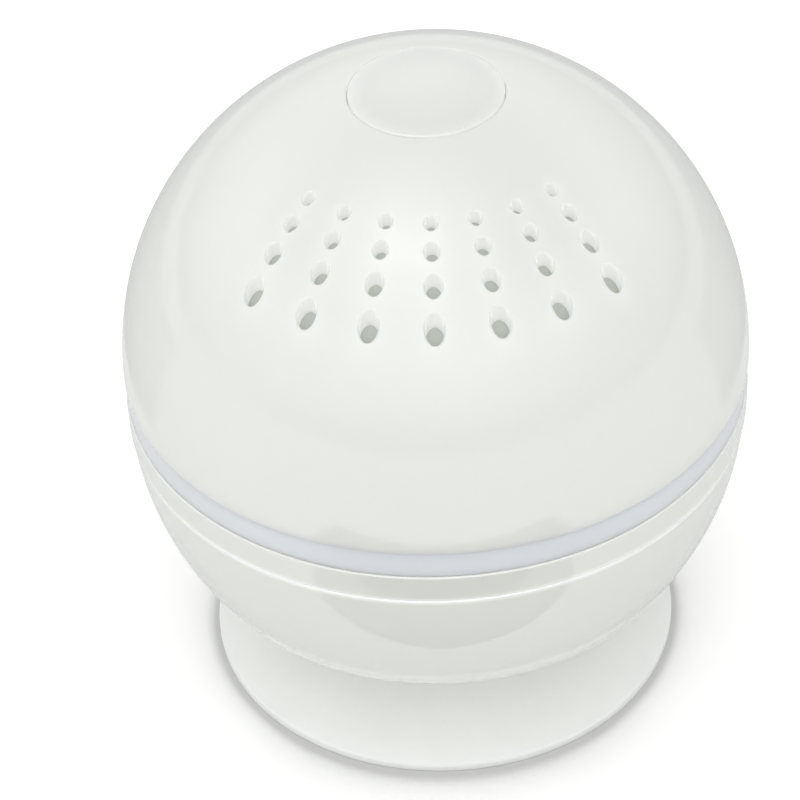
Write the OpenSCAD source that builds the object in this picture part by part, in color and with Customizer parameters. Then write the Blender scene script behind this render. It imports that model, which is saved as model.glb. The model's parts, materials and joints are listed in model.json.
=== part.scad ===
// Shower speaker: a globe on a suction cup.
// The globe is a dome with a fan of sound holes and a button at its pole, a light ring,
// and a bowl that holds the electronics. The bowl turns on a hub in the cup's neck.
// The origin is the centre of the cup's rim, on the surface it sticks to. +Z points to the button,
// and the sound holes face -Y.

/* [Globe] */
// Outer diameter of the dome, the band and the bowl
globe_d = 80; // [79:0.5:82]
// Height of the dome's lower edge, which is also the centre of its sphere
seam_z = 46.7; // [46.5:0.1:47]
// Wall of the dome
dome_wall = 1.8; // [1.6:0.1:2]
// Height of the light ring
ring_h = 3.7; // [3.6:0.1:3.8]
// How far the light ring is set in from the globe's surface
ring_inset = 0.2; // [0:0.1:0.3]
// Height of the straight band at the top of the bowl
band_h = 3.8; // [3.4:0.1:4]
// Step from the band in to the bowl
band_step = 0.15; // [0.1:0.05:0.3]
// How far the centre of the bowl's sphere lies below the light ring
bowl_drop = 2.5; // [2.3:0.1:2.6]
// Wall of the bowl
bowl_wall = 1.8; // [1.6:0.1:2]
// Height of the bowl's lower edge
bowl_edge_z = 18.2; // [18:0.1:18.6]
// Width of the lip around the bowl's underside
lip_w = 1.6; // [1.4:0.1:2]

/* [Sound holes] */
// Number of columns of holes
hole_columns = 7; // [3:2:7]
// Angle from one column to the next, about the vertical axis
column_pitch = 14.7; // [12:0.1:14.8]
// Number of holes in a column
hole_rows = 4; // [2:1:4]
// Distance of the top hole from the vertical axis
first_hole_r = 20.4; // [20:0.1:20.8]
// Diameter of the top hole
first_hole_d = 1.4; // [1.2:0.05:1.5]
// How much larger each hole is than the one above it
hole_growth = 1.17; // [1:0.01:1.18]
// Web between neighbouring holes of a column, seen from above
hole_web = 1.4; // [1:0.05:1.45]
// Wall that is left behind the holes, in front of the mesh
grille_wall = 1.5; // [1.3:0.05:1.5]

/* [Button] */
// Diameter of the button
button_d = 18.9; // [18.5:0.1:19]
// Gap around the button
button_gap = 0.15; // [0.1:0.05:0.35]
// How far the button moves when it is pressed
button_travel = 0.6; // [0.3:0.05:0.6]

/* [Suction cup] */
// Diameter of the cup's rim
cup_d = 62.2; // [60:0.2:64]
// Thickness of the rim's edge
cup_edge_h = 1.3; // [1:0.1:1.6]
// Depth of the hollow under the cup
cup_hollow_h = 3.8; // [3:0.1:3.9]
// Width of the flat ring that seals
cup_seal_w = 1.5; // [1:0.1:2]
// Diameter of the cup's neck
cup_neck_d = 32; // [31:0.5:33]

/* [Driver] */
// Diameter of the loudspeaker's flange
driver_d = 45; // [44:0.5:45.5]
// Radius of the voice coil
coil_r = 5.2; // [5:0.05:5.25]
// Radius of the magnet
magnet_r = 12; // [11.5:0.1:12.2]

/* [Electronics] */
// Radius of the main board
board_r = 22.5; // [22:0.1:22.8]
// Size of the battery
battery_size = [32, 24, 6];
// Number of lamps behind the light ring
led_count = 12; // [6:1:16]

/* [Charging port] */
// Height of the port's middle
port_z = 32.3; // [32:0.1:32.5]
// Width of the rubber cover
flap_w = 13.6; // [13:0.1:14]
// Height of the rubber cover
flap_h = 8; // [7:0.5:8]
// Gap around the rubber cover
flap_gap = 0.3; // [0.25:0.05:0.4]

/* [Hidden] */
$fn = 96;
eps = 0.01;
globe_r = globe_d / 2;
dome_in_r = globe_r - dome_wall;
ring_z = seam_z - ring_h;
band_z = ring_z - band_h;
bowl_z = ring_z - bowl_drop;
bowl_r = globe_r - band_step;
bowl_in_r = bowl_r - bowl_wall;
lip_out_r = sqrt(pow(bowl_r, 2) - pow(bowl_z - bowl_edge_z, 2));
floor_z = bowl_edge_z + 1.6;
floor_top = floor_z + 2;

// Joint faces inside the globe
flange_in_r = globe_r - 4;
rim_flange_h = 2;
groove_r1 = globe_r - 3.1;
groove_r2 = globe_r - 1.5;
groove_h = 0.9;
gasket_gap = 0.05;
skin = 0.8;

// Case screws: none stands behind the sound holes or beside the charging port
case_screw_r = 27;
case_screw_angles = [-25, 50, 130, 205];
post_r = 3.3;
boss_r = 2.9;
case_shank_r = 1.25;
case_head_r = 2;
case_head_top = 36;
case_screw_end = 52;
plug_r = 2.25;

// Baffle and driver
baffle_top = ring_z + 0.5;
baffle_z = baffle_top - 2;
baffle_r = flange_in_r - 0.4;
turret_r = driver_d / 2 + 0.7;
turret_in_r = turret_r - 1.6;
driver_z = 54;
driver_r = driver_d / 2;
driver_screw_r = driver_r - 1.7;
frame_r = 18.4;
basket_t = 0.8;
frame_floor_z = 42.5;
yoke_z = 34.5;
coil_gap = 0.25;
coil_wall = 0.35;
pole_r = coil_r - coil_wall - coil_gap;
cone_z = 46.2;
cone_top = driver_z + 1.2;
cone_edge_r = 15.2;

// Boards
board_z = 29.5;
board_t = 1.2;
board_top = board_z + board_t;
standoff_r = 19.5;
tongue_w = 14;
tongue_y = 34.5;
led_board_r = [30.6, 35.4];
led_board_top = baffle_top + 1;
led_r = 34.2;

// Button stack, from the board up
button_r = button_d / 2;
button_hole_r = button_r + button_gap;
switch_board_z = 75.4;
switch_board_r = 18.8;
switch_board_top = switch_board_z + board_t;
switch_boss_r = 16.6;
carrier_r = 12.6;
seal_z = 80.6;
seal_h = 1.2;
collar_in_r = 11.3;
collar_out_r = 14.2;
hub_top = seal_z + 1.3;
plunger_top = seal_z - 0.3;
cap_flange_z = seal_z + seal_h + button_travel + 0.1;

// Cup neck and swivel
cup_r = cup_d / 2;
neck_r = cup_neck_d / 2;
neck_top = 13.9;
keeper_z = neck_top + 0.4;
keeper_h = 1.6;
keeper_bore_r = 6.4;
keeper_screw_r = 12.7;
keeper_screw_angles = [30, 150, 270];
hub_flange_r = 9.1;
hub_shaft_r = keeper_bore_r - 0.06;
hub_socket_r = 9.4;
plug_flange_r = 9;
plug_flange_z = 6.8;
plug_flange_h = 1.8;

// Charging port
port_floor_r = bowl_r - 1.3;
flap_in_r = bowl_r - 1.15;
socket_size = [8.9, 7, 3.2];
socket_front_y = 36;

white = "#eef0ec";
silicone = "#e9ebe7";
grey = "#b9bdb6";
dark = "#3a3c3e";
steel = "#b4b7ba";
green = "#2f6b4a";

// ---- Shapes that repeat ----

module tube(z, h, inner, outer) {
    translate([0, 0, z]) difference() {
        cylinder(r = outer, h = h);
        translate([0, 0, -1]) cylinder(r = inner, h = h + 2);
    }
}

module disc(z, h, r) {
    translate([0, 0, z]) cylinder(r = r, h = h);
}

module around(radius, angles) {
    for (a = angles) rotate([0, 0, a]) translate([radius, 0, 0]) children();
}

module dome_ball(r) {
    translate([0, 0, seam_z]) sphere(r = r);
}

module bowl_ball(r) {
    translate([0, 0, bowl_z]) sphere(r = r);
}

// A block from z0 to z1 that is wider than the globe
module slab(z0, z1) {
    translate([-globe_d, -globe_d, z0]) cube([2 * globe_d, 2 * globe_d, z1 - z0]);
}

// A screw that points up: pan head below z, shank above it
module screw_up(z, head_r, head_h, shank_r, length) {
    disc(z - head_h, head_h, head_r);
    disc(z - eps, length + eps, shank_r);
}

// A screw that points down: pan head above z, shank below it
module screw_down(z, head_r, head_h, shank_r, length) {
    disc(z, head_h, head_r);
    disc(z - length, length + eps, shank_r);
}

// A round wire through the given points
module wire(points, r) {
    for (i = [0 : len(points) - 2]) {
        step = points[i + 1] - points[i];
        length = norm(step);
        translate(points[i])
            rotate([0, acos(step[2] / length), atan2(step[1], step[0])])
            cylinder(r = r, h = length, $fn = 24);
    }
    for (i = [1 : 1 : len(points) - 2]) translate(points[i]) sphere(r = r * 1.06, $fn = 24);
}

// A flat rounded rectangle, centred
module rounded_rect(w, h, r) {
    square([w - 2 * r, h], center = true);
    square([w, h - 2 * r], center = true);
    for (x = [-1, 1], y = [-1, 1])
        translate([x * (w / 2 - r), y * (h / 2 - r)]) circle(r = r, $fn = 32);
}

// A rounded bar that points along +Y from y0, centred on the charging port
module port_bar(w, h, r, y0, length, x = 0) {
    translate([x, y0 + length, port_z]) rotate([90, 0, 0])
        linear_extrude(length) rounded_rect(w, h, r);
}

function bezier(p, t) =
    pow(1 - t, 3) * p[0] + 3 * t * pow(1 - t, 2) * p[1] + 3 * t * t * (1 - t) * p[2] + pow(t, 3) * p[3];

// ---- Sound holes ----

// Diameter of the hole in a row, and its distance from the axis, both seen from above
function hole_d(row) = first_hole_d * pow(hole_growth, row);
function hole_r(row) =
    row == 0 ? first_hole_r : hole_r(row - 1) + hole_web + (hole_d(row - 1) + hole_d(row)) / 2;

// The holes run parallel to the axis, as the mould draws
module sound_holes() {
    middle = (hole_columns - 1) / 2;
    for (column = [0 : hole_columns - 1], row = [0 : hole_rows - 1])
        rotate([0, 0, (column - middle) * column_pitch])
            translate([0, -hole_r(row), seam_z + 10])
            cylinder(d = hole_d(row), h = globe_r, $fn = 40);
}

// The patch of the dome behind the holes, between two plan radii
module grille_sector(inner, outer, half_angle) {
    rotate([0, 0, -90 - half_angle]) rotate_extrude(angle = 2 * half_angle)
        translate([inner, seam_z + 12]) square([outer - inner, 24]);
}

// ---- Suction cup and swivel ----

module suction_cup() color(silicone) {
    flank = [[cup_r, cup_edge_h], [cup_r - 5, 5.2], [neck_r, 6], [neck_r, 11.5]];
    flank_steps = 18;
    seal_r = cup_r - cup_seal_w;
    hollow_r = (seal_r * seal_r + cup_hollow_h * cup_hollow_h) / (2 * cup_hollow_h);
    difference() {
        rotate_extrude() polygon(concat(
            [[0, 0], [cup_r - 0.3, 0], [cup_r, 0.3]],
            [for (i = [0 : flank_steps]) bezier(flank, i / flank_steps)],
            [[neck_r, neck_top - 0.5], [neck_r - 0.5, neck_top], [0, neck_top]]
        ));
        translate([0, 0, cup_hollow_h - hollow_r]) sphere(r = hollow_r, $fn = 200);
        disc(plug_flange_z, plug_flange_h, plug_flange_r);
        disc(plug_flange_z, neck_top, hub_shaft_r);
    }
}

module swivel_hub() color(grey) {
    disc(plug_flange_z, plug_flange_h, plug_flange_r);
    disc(plug_flange_z + 1, floor_z - 4 - plug_flange_z, hub_shaft_r);
    disc(keeper_z + keeper_h + 0.15, 2, hub_flange_r);
}

module retaining_ring() color(grey)
    difference() {
        tube(keeper_z, keeper_h, keeper_bore_r, neck_r);
        around(keeper_screw_r, keeper_screw_angles) {
            disc(keeper_z - 1, keeper_h + 2, 1);
            translate([0, 0, keeper_z - eps]) cylinder(r1 = 2, r2 = 1, h = 1);
        }
    }

module retaining_screws() color(steel)
    around(keeper_screw_r, keeper_screw_angles) {
        translate([0, 0, keeper_z + 0.05]) cylinder(r1 = 1.9, r2 = 0.9, h = 1);
        disc(keeper_z + 1, 4.1, 0.9);
    }

// ---- Bowl ----

// A ball up to the band, and the band with its edges broken. A parting groove runs under the band,
// and the lower edge is chamfered.
module bowl_outside() {
    groove_w = 0.45;
    edge_cut = 0.4;
    difference() {
        intersection() {
            bowl_ball(bowl_r);
            slab(bowl_edge_z, band_z + 0.4);
        }
        rotate_extrude() polygon([
            [bowl_r - groove_w * 0.8, band_z], [globe_r + 1, band_z],
            [globe_r + 1, band_z - groove_w - 1], [bowl_r, band_z - groove_w]
        ]);
        rotate_extrude() polygon([
            [lip_out_r - edge_cut, bowl_edge_z - 0.1], [lip_out_r - edge_cut, bowl_edge_z],
            [lip_out_r + edge_cut, bowl_edge_z + edge_cut], [lip_out_r + 1, bowl_edge_z - 0.1]
        ]);
    }
    rotate_extrude() polygon([
        [0, band_z], [globe_r - 0.1, band_z], [globe_r, band_z + 0.15],
        [globe_r, ring_z - 0.15], [globe_r - 0.15, ring_z], [0, ring_z]
    ]);
}

module bowl_inside() {
    intersection() {
        bowl_ball(bowl_in_r);
        slab(floor_top, bowl_z - 2.5);
    }
    disc(bowl_z - 3, baffle_z - bowl_z + 2.6, bowl_in_r - 0.3);
    disc(baffle_z - 1, globe_r, flange_in_r);
}

module lower_housing() color(white)
    difference() {
        union() {
            difference() {
                bowl_outside();
                difference() {
                    bowl_inside();
                    // Pad behind the charging port
                    translate([-9.5, socket_front_y - 1, port_z - 6.5]) cube([19, 6, 13]);
                }
                // Recess under the floor, inside the lip
                disc(bowl_edge_z - 1, floor_z - bowl_edge_z + 1, lip_out_r - lip_w);
            }
            // Collar for the hub
            disc(keeper_z + keeper_h, floor_z - keeper_z - keeper_h + 0.5, neck_r);
            around(case_screw_r, case_screw_angles) disc(floor_z, baffle_z - floor_z, post_r);
            around(standoff_r, [0 : 90 : 270]) disc(floor_top - 0.5, board_z - floor_top + 0.5, 2.2);
        }
        disc(keeper_z, floor_z - keeper_z, hub_socket_r);
        around(keeper_screw_r, keeper_screw_angles) disc(keeper_z, 5.2, 0.92);
        around(case_screw_r, case_screw_angles) {
            disc(floor_z - 1, case_head_top - floor_z + 1, plug_r + 0.05);
            disc(case_head_top - 1, globe_r, case_shank_r + 0.15);
        }
        around(standoff_r, [0 : 90 : 270]) disc(floor_top + 2, board_z, 0.8);
        tube(ring_z - groove_h, 5, groove_r1, groove_r2);
        // Charging port: a recess for the cover, with a notch for a fingernail, and the window
        difference() {
            union() {
                port_bar(flap_w + 2 * flap_gap + 0.2, flap_h + 2 * flap_gap, 2.3, 30, 20, -0.1);
                port_bar(4, 4, 1.9, 30, 20, -flap_w / 2);
            }
            bowl_ball(port_floor_r);
        }
        port_bar(socket_size[0] + 1.1, socket_size[2] + 1.2, 1.9, 34, 8);
    }

module screw_plugs() color(silicone)
    around(case_screw_r, case_screw_angles) disc(floor_z + 0.1, 2, plug_r);

module case_screws() color(steel)
    around(case_screw_r, case_screw_angles)
        difference() {
            screw_up(case_head_top, case_head_r, 1.6, case_shank_r, case_screw_end - case_head_top);
            disc(case_head_top - 2, 1.4, 0.9, $fn = 6);
        }

module gasket(top) {
    tube(top - groove_h, groove_h, groove_r1 + gasket_gap, groove_r2 - gasket_gap);
}

module lower_gasket() color(dark) gasket(ring_z);

module upper_gasket() color(dark) gasket(seam_z);

// ---- Light ring ----

module light_ring() color("#d3d8e2")
    rotate_extrude() {
        out_r = globe_r - ring_inset;
        chamfer = 0.25;
        polygon([
            [flange_in_r, ring_z], [out_r - chamfer, ring_z], [out_r, ring_z + chamfer],
            [out_r, seam_z - chamfer], [out_r - chamfer, seam_z], [groove_r2, seam_z],
            [groove_r2, seam_z - groove_h], [groove_r1, seam_z - groove_h], [groove_r1, seam_z],
            [flange_in_r, seam_z]
        ]);
    }

module led_board() color(green)
    tube(baffle_top, led_board_top - baffle_top, led_board_r[0], led_board_r[1]);

module leds() color("#f2efc8")
    around(led_r, [for (i = [0 : led_count - 1]) (i + 0.5) * 360 / led_count])
        translate([-0.8, -1.4, led_board_top]) cube([1.6, 2.8, 1.4]);

module led_cable() color(dark)
    wire([
        [-6, 31.4, led_board_top], [-6, 31.4, led_board_top + 1.6], [-6, 27, led_board_top + 1.6],
        [-6, 27, 37], [-6, 20.4, 34], [-6, 20.4, board_top]
    ], 0.8);

// ---- Dome ----

module dome_shell() color(white)
    difference() {
        union() {
            intersection() {
                difference() {
                    dome_ball(globe_r);
                    dome_ball(dome_in_r);
                }
                slab(seam_z, seam_z + globe_d);
            }
            tube(seam_z, rim_flange_h, flange_in_r - 0.1, globe_r - 1);
            intersection() {
                union() {
                    around(case_screw_r, case_screw_angles) disc(baffle_top, globe_r, boss_r);
                    around(switch_boss_r, [90 : 120 : 330]) disc(switch_board_top, 8, 2.2);
                }
                dome_ball(globe_r - skin);
            }
            tube(seal_z - 1, 4.2, carrier_r + 0.3, collar_out_r);
            tube(seal_z + seal_h, 2, collar_in_r, carrier_r + 0.8);
        }
        disc(seam_z + 30, 20, button_hole_r);
        sound_holes();
        // Recess for the mesh, behind the holes
        difference() {
            intersection() {
                dome_ball(globe_r - grille_wall);
                grille_sector(18.2, 33, 52);
            }
            dome_ball(dome_in_r - 1);
        }
        around(case_screw_r, case_screw_angles)
            disc(baffle_top - 1, case_screw_end - baffle_top + 3, case_shank_r + 0.02);
        around(switch_boss_r, [90 : 120 : 330]) disc(switch_board_top - 1, 5, 0.97);
    }

module acoustic_mesh() color("#8f948a")
    intersection() {
        difference() {
            dome_ball(globe_r - grille_wall - 0.02);
            dome_ball(dome_in_r + 0.02);
        }
        grille_sector(18.6, 32.6, 51);
    }

// ---- Button ----

module button_cap() color(white) {
    top_wall = 1.8;
    inside_top = seam_z + globe_r - top_wall;
    difference() {
        intersection() {
            dome_ball(globe_r);
            disc(cap_flange_z, 10, button_r);
        }
        disc(cap_flange_z - 1, inside_top - cap_flange_z + 1, button_r - 1.4);
    }
    tube(cap_flange_z, 0.6, button_r - 1.4, collar_in_r - 0.4);
    disc(hub_top + 0.05, inside_top - hub_top, 1.8);
}

module button_seal() color(silicone) {
    tube(seal_z, seal_h, 9.3, carrier_r);
    tube(seal_z + 0.4, 0.5, 2.2, 9.4);
    disc(plunger_top + 0.05, hub_top - plunger_top - 0.05, 2.3);
}

module switch_carrier() color(grey)
    tube(switch_board_top, seal_z - switch_board_top, carrier_r - 1.7, carrier_r);

module switch_body() color(dark)
    difference() {
        translate([-3, -3, switch_board_top]) cube([6, 6, 2.6]);
        disc(switch_board_top + 0.6, 5, 1.75);
    }

module switch_plunger() color("#d8d2c0")
    disc(switch_board_top + 1.4, plunger_top - switch_board_top - 1.4, 1.6);

module switch_board() color(green)
    difference() {
        disc(switch_board_z, board_t, switch_board_r);
        around(switch_boss_r, [90 : 120 : 330]) disc(switch_board_z - 1, 5, 1.1);
    }

module switch_screws() color(steel)
    around(switch_boss_r, [90 : 120 : 330]) screw_up(switch_board_z, 1.8, 1.2, 0.95, 4.9);

module switch_cable() color(dark)
    wire([
        [4, 17.4, switch_board_z], [4, 17.4, 70], [4, 25.5, 62], [4, 25.5, 38],
        [4, 20.4, 34], [4, 20.4, board_top]
    ], 0.8);

// ---- Baffle and driver ----

module baffle() color(dark)
    difference() {
        union() {
            disc(baffle_z, baffle_top - baffle_z, baffle_r);
            disc(baffle_z, driver_z - baffle_z, turret_r);
        }
        disc(baffle_z - 1, driver_z - baffle_z - 0.6, turret_in_r);
        disc(driver_z - 5, 10, frame_r + 0.4);
        around(case_screw_r, case_screw_angles) disc(baffle_z - 1, 5, case_shank_r + 0.3);
        around(driver_screw_r, [0 : 90 : 270]) disc(driver_z - 4, 6, 0.87);
        translate([4, 25.5, 0]) disc(baffle_z - 1, 5, 1.3);
        translate([-6, 27, 0]) disc(baffle_z - 1, 5, 1.3);
    }

// Radius of the basket's cone at a height
function basket_r(z) =
    frame_r - (driver_z - z) * (frame_r - magnet_r - 0.6) / (driver_z - frame_floor_z - 1);

module driver_basket() color(steel)
    difference() {
        union() {
            tube(driver_z, 1.2, frame_r - basket_t, driver_r);
            difference() {
                rotate_extrude() polygon([
                    [frame_r, driver_z + 1], [frame_r, driver_z],
                    [basket_r(frame_floor_z), frame_floor_z], [coil_r + 0.4, frame_floor_z],
                    [coil_r + 0.4, frame_floor_z + 0.8],
                    [basket_r(frame_floor_z) - basket_t, frame_floor_z + 0.8],
                    [frame_r - basket_t, driver_z + 1]
                ]);
                for (a = [45, 135]) rotate([0, 0, a])
                    translate([-20, -5, frame_floor_z + 3.6]) cube([40, 10, 5.6]);
            }
            tube(frame_floor_z + 0.8, 1.5, magnet_r - 1.2, basket_r(frame_floor_z + 0.8) - 0.3);
        }
        around(driver_screw_r, [0 : 90 : 270]) disc(driver_z - 1, 4, 1);
    }

module driver_yoke() color(steel) {
    disc(yoke_z, 1.5, magnet_r);
    disc(yoke_z + 1.4, frame_floor_z - yoke_z - 1.4, pole_r);
}

module driver_magnet() color(dark)
    tube(yoke_z + 1.5, frame_floor_z - yoke_z - 3, coil_r + 1.8, magnet_r);

module driver_top_plate() color(steel)
    tube(frame_floor_z - 1.5, 1.5, coil_r + coil_gap, magnet_r);

module voice_coil() color("#b87333") tube(38.5, cone_z + 0.4 - 38.5, coil_r - coil_wall, coil_r);

// A point on the spider's corrugated underside, at a share of the way out
function wave(share, inner, outer, waves) =
    [inner + (outer - inner) * share, frame_floor_z + 2.3 + 0.25 * (1 - cos(360 * waves * share))];

module spider() color("#c9a55c") {
    inner = coil_r + 0.02;
    waves = 3;
    steps = 30;
    rotate_extrude() polygon(concat(
        [for (i = [0 : steps]) wave(i / steps, inner, magnet_r, waves)],
        [for (i = [steps : -1 : 0]) wave(i / steps, inner, magnet_r, waves) + [0, 0.3]]
    ));
}

module speaker_cone() color(dark)
    rotate_extrude() polygon([
        [coil_r + 0.02, cone_z], [cone_edge_r, cone_top - 0.5],
        [cone_edge_r, cone_top], [coil_r + 0.02, cone_z + 0.5]
    ]);

module dust_cap() color(dark)
    intersection() {
        translate([0, 0, cone_z - 4]) difference() {
            sphere(r = 8.3);
            sphere(r = 8);
        }
        slab(cone_z + 1.45, cone_z + 10);
    }

module surround() color("#26282a") {
    roll_r = cone_edge_r + 1.4;
    rotate_extrude() translate([roll_r, cone_top]) intersection() {
        difference() {
            circle(r = 1.4, $fn = 48);
            circle(r = 1, $fn = 48);
        }
        translate([-2, 0]) square([4, 2]);
    }
    tube(cone_top, 0.4, roll_r + 1.2, driver_screw_r - 2);
}

module driver_terminals() color("#a8874f")
    translate([-17.1, -3, 45.2]) difference() {
        cube([3, 6, 0.8]);
        for (y = [1.4, 4.6]) translate([1.5, y, -1]) cylinder(r = 0.65, h = 3, $fn = 24);
    }

module speaker_leads() color("#a33a32")
    for (y = [-1.6, 1.6])
        wire([[-15.6, y, 46.4], [-15.6, y, 40], [-14.6, y, 36], [-14.6, y, board_top]], 0.55);

module driver_screws() color(steel)
    around(driver_screw_r, [0 : 90 : 270]) screw_down(driver_z + 1.2, 1.6, 1.1, 0.85, 4.6);

// ---- Main board and battery ----

module main_board() color(green)
    difference() {
        union() {
            disc(board_z, board_t, board_r);
            translate([-tongue_w / 2, 0, board_z]) cube([tongue_w, tongue_y, board_t]);
        }
        around(standoff_r, [0 : 90 : 270]) disc(board_z - 1, 5, 1);
    }

module wireless_module() color(steel) {
    translate([-16, -15, board_top]) cube([14, 12, 0.8]);
    translate([-15, -14, board_top + 0.75]) cube([10, 10, 1.7]);
}

module board_chips() color(dark) {
    // Each chip's corner on the board and its size
    chips = [
        [[1, -9, 0], [7, 7, 1.2]], [[10, -4, 0], [5, 4, 1.5]], [[11, 4, 0], [4, 4, 3]],
        [[0, 2, 0], [5, 4, 1.5]], [[2, -15, 0], [3, 2.2, 2]], [[7, -15, 0], [3, 2.2, 2]],
        [[-4, 24, 0], [3, 3, 1.2]], [[1, 24, 0], [3, 3, 1.2]]
    ];
    for (chip = chips) translate(chip[0] + [0, 0, board_top]) cube(chip[1]);
}

module board_screws() color(steel)
    around(standoff_r, [0 : 90 : 270]) screw_down(board_top, 1.7, 1.2, 0.78, 6);

module battery() color("#b9c2cc")
    translate([0, 0, floor_top + 0.8])
        linear_extrude(battery_size[2]) rounded_rect(battery_size[0], battery_size[1], 2);

module battery_pad() color(grey)
    translate([-13, -10, floor_top]) cube([26, 20, 0.8]);

module battery_leads() color("#a33a32")
    for (y = [6, 8.4])
        wire([
            [battery_size[0] / 2, y, 26], [battery_size[0] / 2 + 1.6, y, 26],
            [battery_size[0] / 2 + 1.6, y, board_z]
        ], 0.5);

module charge_socket() color(steel)
    difference() {
        socket_z = board_top + 0.05 - port_z + socket_size[2] / 2;
        translate([0, 0, socket_z])
            port_bar(socket_size[0], socket_size[2], 1.5, socket_front_y - socket_size[1], socket_size[1]);
        difference() {
            translate([0, 0, socket_z])
                port_bar(socket_size[0] - 0.6, socket_size[2] - 0.6, 1.2, socket_front_y - 6, 7);
            translate([-3.3, 20, port_z + socket_z - 0.35]) cube([6.6, socket_front_y - 21, 0.7]);
        }
    }

module port_flap() color(silicone) {
    difference() {
        intersection() {
            bowl_ball(bowl_r);
            port_bar(flap_w, flap_h, 2, 30, 20);
        }
        bowl_ball(flap_in_r);
    }
    difference() {
        port_bar(socket_size[0] - 0.7, socket_size[2] - 0.8, 1.1, socket_front_y + 0.6, 2.4);
        port_bar(socket_size[0] - 2.7, socket_size[2] - 2.4, 0.3, socket_front_y, 1.6);
    }
}

// ---- The assembly ----

suction_cup();
swivel_hub();
retaining_ring();
retaining_screws();
lower_housing();
screw_plugs();
case_screws();
lower_gasket();
light_ring();
upper_gasket();
dome_shell();
acoustic_mesh();
button_cap();
button_seal();
switch_carrier();
switch_body();
switch_plunger();
switch_board();
switch_screws();
switch_cable();
baffle();
led_board();
leds();
led_cable();
driver_basket();
driver_yoke();
driver_magnet();
driver_top_plate();
voice_coil();
spider();
speaker_cone();
dust_cap();
surround();
driver_terminals();
speaker_leads();
driver_screws();
main_board();
wireless_module();
board_chips();
board_screws();
battery();
battery_pad();
battery_leads();
charge_socket();
port_flap();
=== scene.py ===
"""Looks for the shower speaker: a white globe with sound holes, a button, a light ring and a suction cup."""

import json
import math

import bmesh
import bpy
from mathutils import Matrix, Vector
from mathutils.geometry import delaunay_2d_cdt


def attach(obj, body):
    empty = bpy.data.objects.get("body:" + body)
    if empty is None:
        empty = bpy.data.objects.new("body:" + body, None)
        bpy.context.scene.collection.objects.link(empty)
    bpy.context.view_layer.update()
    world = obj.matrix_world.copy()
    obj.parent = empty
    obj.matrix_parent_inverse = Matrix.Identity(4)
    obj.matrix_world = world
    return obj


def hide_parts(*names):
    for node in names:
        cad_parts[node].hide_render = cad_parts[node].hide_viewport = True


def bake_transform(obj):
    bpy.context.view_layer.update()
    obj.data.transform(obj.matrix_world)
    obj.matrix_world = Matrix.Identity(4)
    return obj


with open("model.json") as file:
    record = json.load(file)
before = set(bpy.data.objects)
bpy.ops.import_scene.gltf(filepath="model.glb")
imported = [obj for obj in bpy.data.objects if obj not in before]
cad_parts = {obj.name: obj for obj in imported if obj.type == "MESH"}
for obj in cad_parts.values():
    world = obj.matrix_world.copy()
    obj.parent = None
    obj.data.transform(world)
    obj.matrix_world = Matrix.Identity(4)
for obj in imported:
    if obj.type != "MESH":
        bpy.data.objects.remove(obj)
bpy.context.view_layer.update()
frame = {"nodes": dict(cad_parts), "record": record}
NODES = frame["nodes"]
SLOT_OF = {s["node"]: s["material_slot"] for s in frame["record"]["subparts"]}

MM = 0.001
TAU = 2 * math.pi

# ---- Sizes in millimetres: the CAD part's own, apart from BUTTON_R ----

GLOBE_R = 40.0
SEAM_Z = 46.7
RING_Z = 43.0
RING_R = 39.8
FLANGE_IN_R = 36.0
GROOVE = (36.9, 38.5, 0.9)
HOLE_COLUMNS = 7
COLUMN_PITCH = math.radians(14.7)
HOLE_ROWS = 4
FIRST_HOLE_R = 20.4
FIRST_HOLE_D = 1.4
HOLE_GROWTH = 1.17
HOLE_WEB = 1.4
# The CAD button's radius is 9.45. This one is 0.05 mm wider, so that the gap round it looks fainter.
BUTTON_R = 9.5
BUTTON_HOLE_R = 9.6
BUTTON_FLANGE = (82.5, 0.6, 10.9)
BUTTON_TOP_WALL = 1.8
BUTTON_POST = (81.95, 1.8)
CUP_R = 31.1
CUP_NECK_R = 16.0
CUP_NECK_TOP = 13.9
CUP_HOLLOW = 3.8
CUP_SEAL_R = 29.6
CUP_SOCKET = (6.34, 9.0, 6.8, 8.6)


# ---- Camera, lights and floor ----


# The tent's brightness at the horizon and at three heights above it, on each side, and overhead. These
# values were not chosen by eye: a least-squares fit of renders to the photograph's brightness gave them,
# and they were then rounded and adjusted a little.
TENT = {
    "front": (0.42, 1.02, 1.82, 1.7),
    "back": (0.78, 0.94, 0.96, 0.7),
    "left": (0.60, 1.06, 1.45, 1.1),
    "right": (0.50, 0.92, 1.28, 0.95),
}
TENT_TOP = 0.56

# The floor: half its side in metres, its white as light meets it, and how bright the camera sees it
FLOOR_HALF = 3
FLOOR_WHITE = 0.82
FLOOR_SEEN = 1.21

# The contact shadow: its reach in mm, the least light it leaves, and its power at two places along Y in mm
SHADOW_REACH = 16
SHADOW_LEAST = 0.5
SHADOW_POWER = ((-20, 2.3), (-31, 4.3))

# Cards just above the floor that only reflections see: their corners in plan in mm, and their brightness.
# These two darken the front of the band and the bowl.
CARD_Z = 1
NEAR_CARD = ([(-60, -100), (60, -100), (57, -76), (-57, -76)], 0.0)
LENS_CARD = ([(57, -76), (40, -56), (20, -48), (0, -45), (-20, -48), (-40, -56), (-57, -76)], 0.42)

# Part of a ring of card behind the object, which draws its outline: its radii in mm, the angles in
# degrees where it starts and ends and how far apart its corners are, and its brightness
BACK_CARD = (95, 420, (10, 170, 10), 0.62)

# The card that brightens the middle of the dome: its centre and half width in mm, and its brightness
KEY_CARD = (-60, -125, 400, 330)
KEY_GREY = 3.0


def link_object(name, data):
    made = bpy.data.objects.new(name, data)
    bpy.context.scene.collection.objects.link(made)
    return made


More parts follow.
